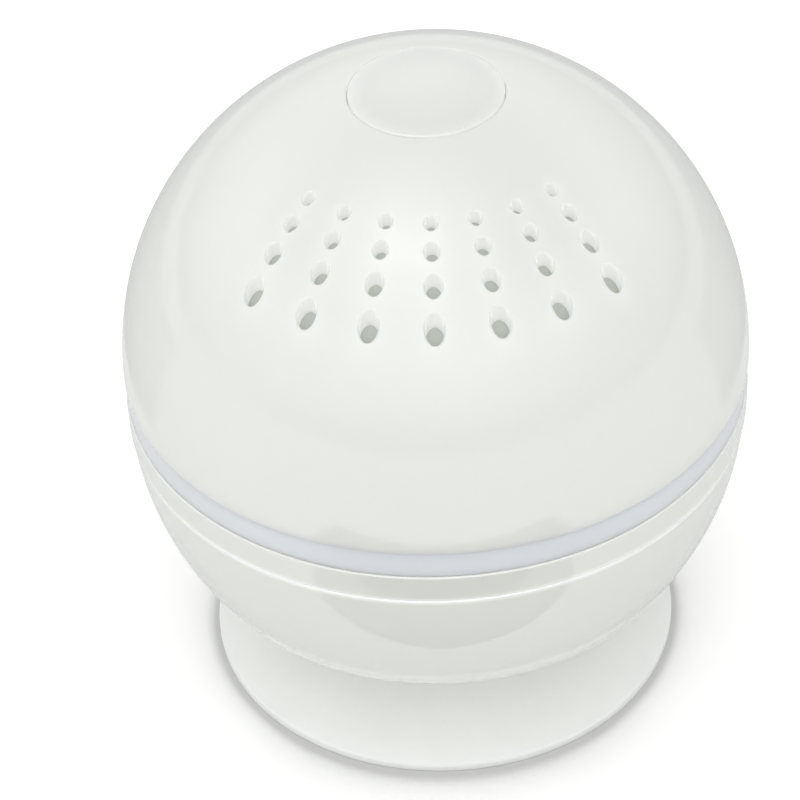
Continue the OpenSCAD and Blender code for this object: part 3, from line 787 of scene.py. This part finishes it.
def dome_skin():
    """The dome: the CAD shell keeps its inside, bosses and joint faces, and gets a new outer skin."""
    segments = DOME_SEGMENTS
    holes = hole_table()
    bm = bmesh.new()
    bm.from_mesh(NODES["dome_shell"].data)
    bmesh.ops.remove_doubles(bm, verts=bm.verts, dist=2e-6)
    centre = Vector((0, 0, SEAM_Z * MM))

    def in_hole_wall(f, x, y, r):
        return all(abs(math.hypot(v.co.x / MM - x, v.co.y / MM - y) - r) < SAME for v in f.verts)

    doomed = []
    for f in bm.faces:
        middle = f.calc_center_median()
        if all(abs((v.co - centre).length / MM - GLOBE_R) < SAME for v in f.verts):
            if f.normal.dot((middle - centre).normalized()) > 0.7:
                doomed.append(f)
        elif middle.z / MM > SEAM_Z + 10 and abs(f.normal.z) < 0.01:
            near = min(holes, key=lambda h: (h[0] - middle.x / MM) ** 2 + (h[1] - middle.y / MM) ** 2)
            if in_hole_wall(f, *near) or in_hole_wall(f, 0, 0, BUTTON_HOLE_R):
                doomed.append(f)
    bmesh.ops.delete(bm, geom=doomed, context="FACES")
    bmesh.ops.delete(bm, geom=[v for v in bm.verts if not v.link_faces], context="VERTS")
    edge = {v for e in bm.edges if e.is_boundary for v in e.verts}
    seam = [v for v in edge if v.co.z / MM < SEAM_Z + 1]
    around_button = [v for v in edge if math.hypot(v.co.x, v.co.y) / MM < BUTTON_HOLE_R + 0.1]
    rest = edge - set(seam) - set(around_button)

    skin = Skin(bm)
    rim = SEAM_RIM
    for v in seam:
        v.co.x *= (GLOBE_R - rim) / GLOBE_R
        v.co.y *= (GLOBE_R - rim) / GLOBE_R

    def ring_at(theta):
        """A ring on the sphere at an angle from the pole."""
        made = []
        for k in range(segments):
            n = radial(theta, TAU * k / segments)
            made.append(skin.vert((n[0] * GLOBE_R, n[1] * GLOBE_R, SEAM_Z + n[2] * GLOBE_R), n))
        return made

    # Button hole, with a rounded rim
    low = sum(v.co.z for v in around_button) / len(around_button) / MM
    collar = rim_rings(0, 0, BUTTON_HOLE_R, BUTTON_RIM, lambda x, y: low, segments)
    collar = [[skin.vert(p, n) for p, n in ring] for ring in collar]
    for upper, lower in zip(collar[:-1], collar[1:]):
        skin.strip(upper, lower)
    skin.zip(collar[-1], around_button, (0, 0))

    # Plain rings from the button to the holes, and from the holes to the seam
    first, last = PATCH
    start = math.asin((BUTTON_HOLE_R + COLLAR_WEB) / GLOBE_R)
    inner = ring_at(start)
    skin.strip(inner, collar[0])
    for k in range(1, UPPER_RINGS + 1):
        ring = ring_at(start + (first - start) * k / UPPER_RINGS)
        skin.strip(ring, inner)
        inner = ring
    outer = ring_at(last)
    ring = outer
    final = math.acos(rim / GLOBE_R)
    for k in range(1, LOWER_RINGS + 1):
        lower = ring_at(last + (final - last) * k / LOWER_RINGS)
        skin.strip(lower, ring)
        ring = lower
    for k in range(1, RIM_STEPS + 1):
        b = math.pi / 2 * k / RIM_STEPS
        lower = []
        for m in range(segments):
            a = TAU * m / segments
            r = GLOBE_R - rim + rim * math.cos(b)
            lower.append(skin.vert((r * math.cos(a), r * math.sin(a), SEAM_Z + rim - rim * math.sin(b)),
                                   (math.cos(b) * math.cos(a), math.cos(b) * math.sin(a), -math.sin(b))))
        skin.strip(lower, ring)
        ring = lower
    skin.zip(seam, ring, (0, 0))

    # Sound holes: a rounded rim each, and a triangulated patch between them
    flat, owner, source = [], [], []

    def add(v, who):
        flat.append(Vector((v.co.x / MM, v.co.y / MM)))
        owner.append(who)
        source.append(v)

    edges = []
    for who, ring in (("in", inner), ("out", outer)):
        base = len(flat)
        for v in ring:
            add(v, who)
        edges += [(base + k, base + (k + 1) % segments) for k in range(segments)]
    for number, (cx, cy, radius) in enumerate(holes):
        floor = [v for v in rest if math.hypot(v.co.x / MM - cx, v.co.y / MM - cy) < radius + 0.02]
        depth = sum((v.co - centre).length for v in floor) / len(floor) / MM
        rings = rim_rings(cx, cy, radius, HOLE_RIM, lambda x, y, d=depth: on_dome(x, y, d), HOLE_SEGMENTS)
        rings = [[skin.vert(p, n) for p, n in ring] for ring in rings]
        for upper, lower in zip(rings[:-1], rings[1:]):
            skin.strip(upper, lower)
        skin.zip(rings[-1], floor, (cx * MM, cy * MM))
        base = len(flat)
        for v in rings[0]:
            add(v, number)
        edges += [(base + k, base + (k + 1) % HOLE_SEGMENTS) for k in range(HOLE_SEGMENTS)]
    for row in range(1, PATCH_ROWS):
        theta = first + (last - first) * row / PATCH_ROWS
        for k in range(segments):
            n = radial(theta, TAU * (k + 0.5 * (row % 2)) / segments)
            x, y = n[0] * GLOBE_R, n[1] * GLOBE_R
            if all(math.hypot(x - cx, y - cy) > r + PATCH_CLEAR for cx, cy, r in holes):
                add(skin.vert((x, y, SEAM_Z + n[2] * GLOBE_R), n), "free")
    _, _, triangles, originals, _, _ = delaunay_2d_cdt(flat, edges, [], 0, 1e-5)
    for t in triangles:
        ids = [originals[i][0] for i in t]
        whose = {owner[i] for i in ids}
        if len(whose) == 1 and whose != {"free"}:
            continue
        verts = [source[i] for i in ids]
        a, b, c = (v.co for v in verts)
        if (b - a).cross(c - a).z < 0:
            verts.reverse()
        skin.face(verts)

    for f in bm.faces:
        f.smooth = True
    for e in bm.edges:
        if len(e.link_faces) == 2 and e.calc_face_angle(0) > math.radians(28):
            e.smooth = all(f.tag for f in e.link_faces)
    bm.verts.index_update()
    tagged = {v.index: n for v, n in skin.normal.items()}
    bm.faces.index_update()
    new_faces = {f.index for f in bm.faces if f.tag}
    mesh = bpy.data.meshes.new("dome")
    bm.to_mesh(mesh)
    bm.free()
    normals = [(0, 0, 0)] * len(mesh.loops)
    for polygon in mesh.polygons:
        if polygon.index in new_faces:
            for k in polygon.loop_indices:
                normals[k] = tuple(tagged.get(mesh.loops[k].vertex_index, (0, 0, 0)))
    mesh.normals_split_custom_set(normals)
    return mesh


def paint_glow_on_walls(mesh, holes):
    """Gives the upright walls of the holes the material with a painted glow, in place of light through the
    thin wall.
    """
    mesh.materials.append(MATERIALS["glow_painted_wall"])
    for f in mesh.polygons:
        x, y = f.center.x / MM, f.center.y / MM
        upright = abs(f.normal.z) < 0.3
        if upright and any(abs(math.hypot(x - u, y - v) - r) < WALL_NEAR for u, v, r in holes):
            f.material_index = 1


def button_mesh():
    """The button: a cap of the globe's sphere with a rounded edge, a flange below and a post inside."""
    base_z, flange_h, flange_r = BUTTON_FLANGE
    wall = 1.4
    inside = SEAM_Z + GLOBE_R - BUTTON_TOP_WALL
    edge = math.acos(BUTTON_R / GLOBE_R)
    fillet = 0.22
    top = circle_points((0, SEAM_Z), GLOBE_R, edge + 0.012, math.pi / 2, 24)
    top[-1] = (0, SEAM_Z + GLOBE_R, None)
    corner = (BUTTON_R, SEAM_Z + GLOBE_R * math.sin(edge), fillet)
    post_z, post_r = BUTTON_POST
    corners = [
        (0, post_z, None), (post_r, post_z, 0.1), (post_r, inside, 0.3), (BUTTON_R - wall, inside, 0.3),
        (BUTTON_R - wall, base_z, None), (flange_r, base_z, 0.12), (flange_r, base_z + flange_h, 0.12),
        (BUTTON_R, base_z + flange_h, None), corner, *top,
    ]
    return lathe("button", arc_profile(corners), 192)


def ring_mesh():
    """The light ring: rounded outer edges, and the gasket's groove on top."""
    soft = 0.22
    inner, outer, depth = GROOVE
    return lathe("light_ring_piece", arc_profile([
        (FLANGE_IN_R, RING_Z, None), (RING_R, RING_Z, soft), (RING_R, SEAM_Z, soft), (outer, SEAM_Z, 0.08),
        (outer, SEAM_Z - depth, 0.08), (inner, SEAM_Z - depth, 0.08), (inner, SEAM_Z, 0.08),
        (FLANGE_IN_R, SEAM_Z, None),
    ]), 288)


def cup_mesh():
    """The suction cup: a thin rounded rim, a hollow underside and a neck that grips the hub."""
    hollow_r = (CUP_SEAL_R**2 + CUP_HOLLOW**2) / (2 * CUP_HOLLOW)
    sweep = math.asin(CUP_SEAL_R / hollow_r)
    hollow = [(hollow_r * math.sin(sweep * k / 24), CUP_HOLLOW - hollow_r * (1 - math.cos(sweep * k / 24)),
               "smooth") for k in range(1, 24)]
    flank = [(CUP_R, 1.3), (CUP_R - 5, 5.2), (CUP_NECK_R, 6), (CUP_NECK_R, 11.5)]
    side = [(*bezier(flank, k / 40), "smooth") for k in range(1, 41)]
    shaft, pocket, floor, roof = CUP_SOCKET
    return lathe("cup", arc_profile([
        (0, CUP_HOLLOW, None), *hollow, (CUP_SEAL_R, 0, 0.2), (CUP_R, 0, 0.35), (CUP_R, 1.3, 0.5), *side[2:],
        (CUP_NECK_R, CUP_NECK_TOP, 0.6), (shaft, CUP_NECK_TOP, 0.25), (shaft, roof, 0.2), (pocket, roof, 0.3),
        (pocket, floor, 0.3), (0, floor, None),
    ]), 256)


# ---- Soft inner pieces of the button's seal and the cone's surround ----


def seal_pieces():
    """The button's seal: a clamped rim, a conical web, and a hub between post and plunger."""
    rim = lathe("seal_rim", arc_profile([
        (9.3, 80.6, 0.15), (12.6, 80.6, 0.15), (12.6, 81.8, 0.2), (9.3, 81.8, 0.3),
    ]), 128)
    web = lathe("seal_web", arc_profile([
        (2.2, 81.1, None), (2.7, 81.1, 0.2), (8.6, 80.72, 0.3), (9.4, 80.72, None), (9.4, 81.1, None),
        (8.7, 81.1, 0.3), (2.8, 81.52, 0.2), (2.2, 81.52, None),
    ]), 128)
    hub = lathe("seal_hub", arc_profile([
        (0, 80.35, None), (2.3, 80.35, 0.15), (2.3, 81.9, 0.15), (0, 81.9, None),
    ]), 64)
    new_object("seal_rim", rim, "white_silicone", "globe", "button_seal")
    new_object("seal_hub", hub, "white_silicone", "button", "button_seal")
    piece = new_object("seal_web", web, "white_silicone", None, "button_seal")
    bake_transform(piece)


def surround_pieces():
    """The cone's surround: half a roll on each side of its crest, and a foot glued to the basket."""
    low, thick, foot_in, foot_out = 55.2, 0.4, 17.7, 18.8
    crest, out_r, in_r, steps = (16.6, low), 1.4, 1.0, 10
    for name, span, bodies in (("surround_inner", (math.pi, math.pi / 2), ("cone", "globe")),
                               ("surround_outer", (math.pi / 2, 0), ("globe", "cone"))):
        over = circle_points(crest, out_r, span[1], span[0], steps)
        under = circle_points(crest, in_r, span[0], span[1], steps)
        ends = [(*p[:2], None) if k in (0, steps) else p for k, p in enumerate(over)]
        ends += [(*p[:2], None) if k in (0, steps) else p for k, p in enumerate(under)]
        roll = lathe(name, arc_profile(ends), 160)
        piece = new_object(name, roll, "surround_rubber", None, "surround")
        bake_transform(piece)
    foot = lathe("surround_foot", arc_profile([
        (foot_in, low, None), (foot_out, low, None), (foot_out, low + thick, 0.15),
        (foot_in, low + thick, 0.15),
    ]), 160)
    new_object("surround_foot", foot, "surround_rubber", "globe", "surround")


def flap_strap():
    """The thin silicone strap that holds the charging port's cover along its hinge side."""
    rows, columns = 6, 14
    bottom, top = 29.6, 35.0
    hinge_x, width, thick = 6.2, 1.25, 0.35
    ball_r, ball_z, clearance = 38.62, 40.5, 0.05
    bm = bmesh.new()
    layers = []
    for depth in (0.0, thick):
        grid = []
        for i in range(columns + 1):
            x = hinge_x + width * i / columns
            line = []
            for j in range(rows + 1):
                z = bottom + (top - bottom) * j / rows
                reach = math.sqrt(ball_r**2 - (z - ball_z) ** 2 - x * x)
                line.append(bm.verts.new(Vector((x, reach + clearance + depth, z)) * MM))
            grid.append(line)
        layers.append(grid)
    inner, outer = layers
    for i in range(columns):
        for j in range(rows):
            bm.faces.new([inner[i][j], inner[i + 1][j], inner[i + 1][j + 1], inner[i][j + 1]])
            bm.faces.new([outer[i][j], outer[i][j + 1], outer[i + 1][j + 1], outer[i + 1][j]])
    border = [(i, 0) for i in range(columns)] + [(columns, j) for j in range(rows)]
    border += [(i, rows) for i in range(columns, 0, -1)] + [(0, j) for j in range(rows, 0, -1)]
    for k, (i, j) in enumerate(border):
        m, n = border[(k + 1) % len(border)]
        bm.faces.new([inner[i][j], outer[i][j], outer[m][n], inner[m][n]])
    bmesh.ops.recalc_face_normals(bm, faces=bm.faces)
    for f in bm.faces:
        f.smooth = True
    mesh = bpy.data.meshes.new("flap_strap")
    bm.to_mesh(mesh)
    bm.free()
    piece = new_object("flap_strap", mesh, "white_silicone", None)
    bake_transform(piece)


# ---- The scene ----

make_camera()
make_studio()

# The bowl's finish stands in for the slot's own on the lower housing alone
for node, obj in NODES.items():
    obj.data.materials.clear()
    obj.data.materials.append(MATERIALS["bowl_gloss" if node == "lower_housing" else SLOT_OF[node]])

dome = new_object("dome", dome_skin(), "white_gloss", "globe", "dome_shell")
paint_glow_on_walls(dome.data, [*hole_table(), (0, 0, BUTTON_HOLE_R)])
new_object("button", button_mesh(), "button_gloss", "button", "button_cap")
new_object("light_ring_piece", ring_mesh(), "diffuser", "globe", "light_ring")
new_object("cup", cup_mesh(), "cup_silicone", "cup", "suction_cup")
seal_pieces()
surround_pieces()
flap_strap()
